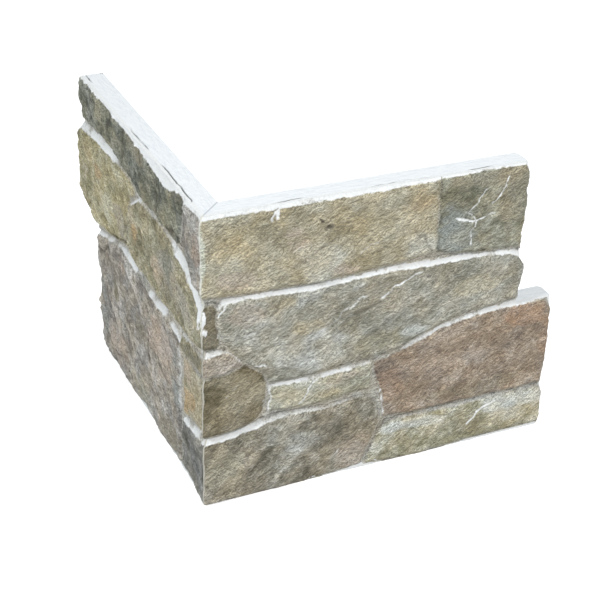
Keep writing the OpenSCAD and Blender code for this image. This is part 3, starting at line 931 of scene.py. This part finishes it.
def clay_material():
    """The panels: print or bare clay, as the attributes of the mesh say, with painted shade mixed in and
    painted light and shade on the print's fine bumps.
    """
    s = Shader("printed clay")
    flat = s.value("flat", "Vector")
    wandering = s.shifted(flat, 0.12, 5)
    turned_flat = s.node("Mapping", {"Vector": wandering, "Rotation": (0, STREAK_ANGLE, 0)})
    stretched = s.node("Mapping", {"Vector": turned_flat, "Scale": (0.55, 1, 1)})
    streaks = s.noise(stretched, 0.6, 4, 0.6)
    specks = s.noise(flat, 1.0, 4, 0.85, offset=40)
    blots = s.noise(flat, 0.07, 1, 0.5)
    # Painted light and shade: the print's fine bumps get a lighter upper side and a darker lower side,
    # as if lit from above
    lifted = s.node("VectorMath", {0: stretched, 1: (0.1, 0, 0.3)}, operation="ADD")
    bumps = s.noise(stretched, 0.8, 3, 0.85)
    painted_lit_side = s.maths("SUBTRACT", bumps, s.noise(lifted, 0.8, 3, 0.85))

    tint = s.value("tint", "Color")
    # Each pattern, the range of it that is used, and how dark and light it makes the print; the first is
    # painted light and shade
    tones = [
        (painted_lit_side, -0.1, 0.1, 0.56, 1.44),
        (streaks, 0.38, 0.62, 0.92, 1.08),
        (specks, 0.36, 0.64, 0.84, 1.26),
    ]
    for pattern, low, high, dark, light in tones:
        tone = s.mixed(s.spread(pattern, low, high, 0, 1), grey(dark), grey(light))
        tint = s.mixed(1.0, tint, tone, "MULTIPLY")
    warm = s.mixed(s.spread(blots, 0.35, 0.65, 0, 1), (0.97, 1.0, 1.04, 1), (1.03, 1.0, 0.95, 1))
    tint = s.mixed(1.0, tint, warm, "MULTIPLY")

    # Bare clay is mottled on the face and its lip, and scratched on the slab's sides behind them
    depth = s.node("SeparateXYZ", {0: flat}, output="Y")
    fired = s.mixed(s.spread(specks, 0.3, 0.7, 0, 1), opaque(DULL_CLAY), opaque(BARE_CLAY))
    slanted = {"Vector": flat, "Scale": (0.15, 1, 1), "Rotation": (0, 0, 0.5)}
    scratches = s.noise(s.node("Mapping", slanted), 0.9, 3)
    cut = s.mixed(s.spread(scratches, 0.35, 0.6, 0, 1), opaque(SCRATCHED), opaque(CUT_CLAY))
    clay = s.mixed(s.spread(depth, SLAB_T - 0.6, SLAB_T, 0, 1), cut, fired)
    bare = s.maths("ADD", s.value("bare"), s.spread(specks, 0.3, 0.7, -0.15, 0.15))
    bare = s.spread(bare, 0.2, 0.85, 0, 1)
    colour = s.mixed(bare, tint, clay)
    shade = s.maths("MULTIPLY", s.value("shade"), SHADE_STRENGTH)
    colour = s.mixed(shade, colour, opaque(SHADOW))

    relief = s.maths("ADD", s.maths("MULTIPLY", specks, 0.4), streaks)
    strength = s.spread(bare, 0, 1, 1.0, 0.4)
    bump = s.node("Bump", {"Height": relief, "Strength": strength, "Distance": 0.0018})
    s.feed(s.surface.inputs["Base Color"], colour)
    s.feed(s.surface.inputs["Roughness"], s.spread(specks, 0.3, 0.7, 0.7, 0.9))
    s.feed(s.surface.inputs["Normal"], bump)
    s.surface.inputs["Specular IOR Level"].default_value = 0.35
    return s.material


def adhesive_material():
    """The bead: greyer deep in the mitre, and stained on its lower half."""
    s = Shader("adhesive")
    where = s.node("TexCoord", output="Object")
    blots = s.noise(where, 300, 4)
    x = s.node("SeparateXYZ", {0: where}, output="X")
    z = s.node("SeparateXYZ", {0: where}, output="Z")
    buried = s.spread(x, -(SLAB_T + 0.6) * MM, -(SLAB_T - 0.2) * MM, 0, 1)
    stained = s.spread(z, 85 * MM, 100 * MM, 0.8, 0)
    colour = s.mixed(s.spread(blots, 0.35, 0.65, 0, 1), opaque(DULL_ADHESIVE), opaque(ADHESIVE))
    colour = s.mixed(buried, colour, opaque(JOINT_GREY))
    colour = s.mixed(stained, colour, opaque(GROUT))
    bump = s.node("Bump", {"Height": blots, "Strength": 0.4, "Distance": 0.0004})
    s.feed(s.surface.inputs["Base Color"], colour)
    s.feed(s.surface.inputs["Roughness"], s.spread(blots, 0.3, 0.7, 0.5, 0.75))
    s.feed(s.surface.inputs["Normal"], bump)
    return s.material


def floor_material():
    """White paper, with a glow that only the camera sees."""
    s = Shader("floor")
    where = s.node("TexCoord", output="Object")
    dust = s.noise(where, 40, 3)
    colour = s.mixed(s.spread(dust, 0.3, 0.7, 0, 1), opaque(FLOOR_DUST), opaque(FLOOR_WHITE))
    s.feed(s.surface.inputs["Base Color"], colour)
    s.surface.inputs["Roughness"].default_value = 0.9
    glow = s.node("LightPath", output="Is Camera Ray")
    s.feed(s.surface.inputs["Emission Color"], grey(1))
    s.feed(s.surface.inputs["Emission Strength"], s.maths("MULTIPLY", glow, 0.55))
    return s.material


# The pieces

clay = clay_material()


def front_place(u, depth, z):
    return u, -depth, z


def return_place(u, depth, z):
    return -depth, u, z


# The smears of adhesive beside the arris, as (u, z, radius along u, radius along z, strength)
FRONT_SMEARS = [(-12.5, 99, 1.3, 5, 0.9), (-13, 108, 1.2, 3, 0.8), (-11.5, 94, 1.2, 1.6, 0.8)]
RETURN_SMEARS = [(-12, 104, 3.0, 7, 0.8), (-8, 108, 4, 2.5, 0.8)]
# The cracks along the top between slab and lip, as (from u, to u, depth)
FRONT_CRACKS = [(20, 38, 2.0), (66, 102, 0.6), (116, 132, 1.8)]
RETURN_CRACKS = [(2, 48, 2.0), (62, 94, 0.8), (156, 174, 1.3)]
FRONT_SEED = 1
RETURN_SEED = 2001
PANELS = [
    ("front_panel", front_place, SHORT_LEG, LONG_LEG, FRONT_STONES, FRONT_ENDS,
     FRONT_SMEARS, FRONT_CRACKS, FRONT_SEED),
    ("return_panel", return_place, LONG_LEG, SHORT_LEG, RETURN_STONES, RETURN_ENDS,
     RETURN_SMEARS, RETURN_CRACKS, RETURN_SEED),
]
for node, place, upper_leg, lower_leg, stones, ends, smears, cracks, seed in PANELS:
    panel = panel_mesh(node + "_stones", place, upper_leg, lower_leg, stones, ends, smears, cracks, seed)
    panel.data.materials.append(clay)
    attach(panel, "root")
    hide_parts(node)


def bond_mesh():
    """The adhesive bed: a thin upright wedge in the mitre with an uneven bead along the arris."""
    rows = spaced(0, PANEL_H, PITCH)
    front_depth = MITRE_SHIFT - arris_line(rows, FRONT_STONES, FRONT_SMEARS, FRONT_SEED)
    return_depth = MITRE_SHIFT - arris_line(rows, RETURN_STONES, RETURN_SMEARS, RETURN_SEED)
    middle = (front_depth + return_depth - MITRE_SHIFT) / 2
    half = BOND_T / 2 - BEAD_GAP
    verts, faces = [], []
    for z, depth in zip(rows, middle):
        arris = depth * math.sqrt(2)
        shoulder = arris - BEAD_SHOULDER
        crown = arris + BEAD_PROUD
        # How far each corner lies out along the mitre, and how far to one side of it
        profile = [(0, -half), (shoulder, -half), (crown, -0.5 * half), (crown, 0.5 * half),
                   (shoulder, half), (0, half)]
        for out, aside in profile:
            x = (-out + aside) / math.sqrt(2)
            y = (-out - aside) / math.sqrt(2)
            verts.append(Vector((x, y, z)) * MM)
    n = len(profile)
    for i in range(len(rows) - 1):
        for k in range(n):
            a, b = i * n + k, i * n + (k + 1) % n
            faces.append((a, b, b + n, a + n))
    faces.append(tuple(range(n))[::-1])
    faces.append(tuple(range(len(verts) - n, len(verts))))
    mesh = bpy.data.meshes.new("mitre_bead")
    mesh.from_pydata(verts, [], faces)
    close_mesh(mesh)
    return shown_object("mitre_bead", mesh)


bead = bond_mesh()
bead.data.materials.append(adhesive_material())
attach(bead, "root")
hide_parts("mitre_bond")

# The studio


def area_lamp(name, location, target, size, power, colour):
    lamp = bpy.data.lights.new(name, "AREA")
    lamp.size = size
    lamp.energy = power
    lamp.color = colour
    holder = bpy.data.objects.new(name, lamp)
    holder.location = location
    holder.rotation_euler = (Vector(target) - Vector(location)).to_track_quat("-Z", "Y").to_euler()
    bpy.context.scene.collection.objects.link(holder)


# The studio is laid out in metres
CENTRE = (0.04, 0.03, 0.08)
FLOOR_HALF = 4
area_lamp("front", (0.45, -0.95, 1.15), CENTRE, 0.2, 11.7, (1.0, 0.99, 0.97))
area_lamp("side", (-1.1, -0.3, 1.0), CENTRE, 0.2, 11, (0.96, 0.985, 1.0))

world = bpy.data.worlds.new("studio")
bpy.context.scene.world = world
world.use_nodes = True
world.node_tree.nodes["Background"].inputs["Color"].default_value = (0.95, 0.97, 1.0, 1)
world.node_tree.nodes["Background"].inputs["Strength"].default_value = 0.5

floor_mesh = bpy.data.meshes.new("floor")
floor_corners = [(x * FLOOR_HALF, y * FLOOR_HALF, 0) for x, y in [(-1, -1), (1, -1), (1, 1), (-1, 1)]]
floor_mesh.from_pydata(floor_corners, [], [(0, 1, 2, 3)])
floor_mesh.materials.append(floor_material())
floor = bpy.data.objects.new("floor", floor_mesh)
bpy.context.scene.collection.objects.link(floor)

# The camera stands where the photograph was taken
CAMERA_AT = Vector((-196.6, -527.7, 415.3)) * MM
CAMERA_AIM = Vector((48.7, 19.9, 81.3)) * MM
CAMERA_ROLL = math.radians(1.17)
camera_data = bpy.data.cameras.new("camera")
camera_data.lens = 86.5
camera_data.sensor_width = 36
camera = bpy.data.objects.new("camera", camera_data)
camera.location = CAMERA_AT
aim = (CAMERA_AIM - CAMERA_AT).to_track_quat("-Z", "Y").to_matrix()
camera.rotation_euler = (aim @ Matrix.Rotation(CAMERA_ROLL, 3, "Z")).to_euler()
bpy.context.scene.collection.objects.link(camera)
bpy.context.scene.camera = camera
bpy.context.scene.view_settings.view_transform = "Standard"
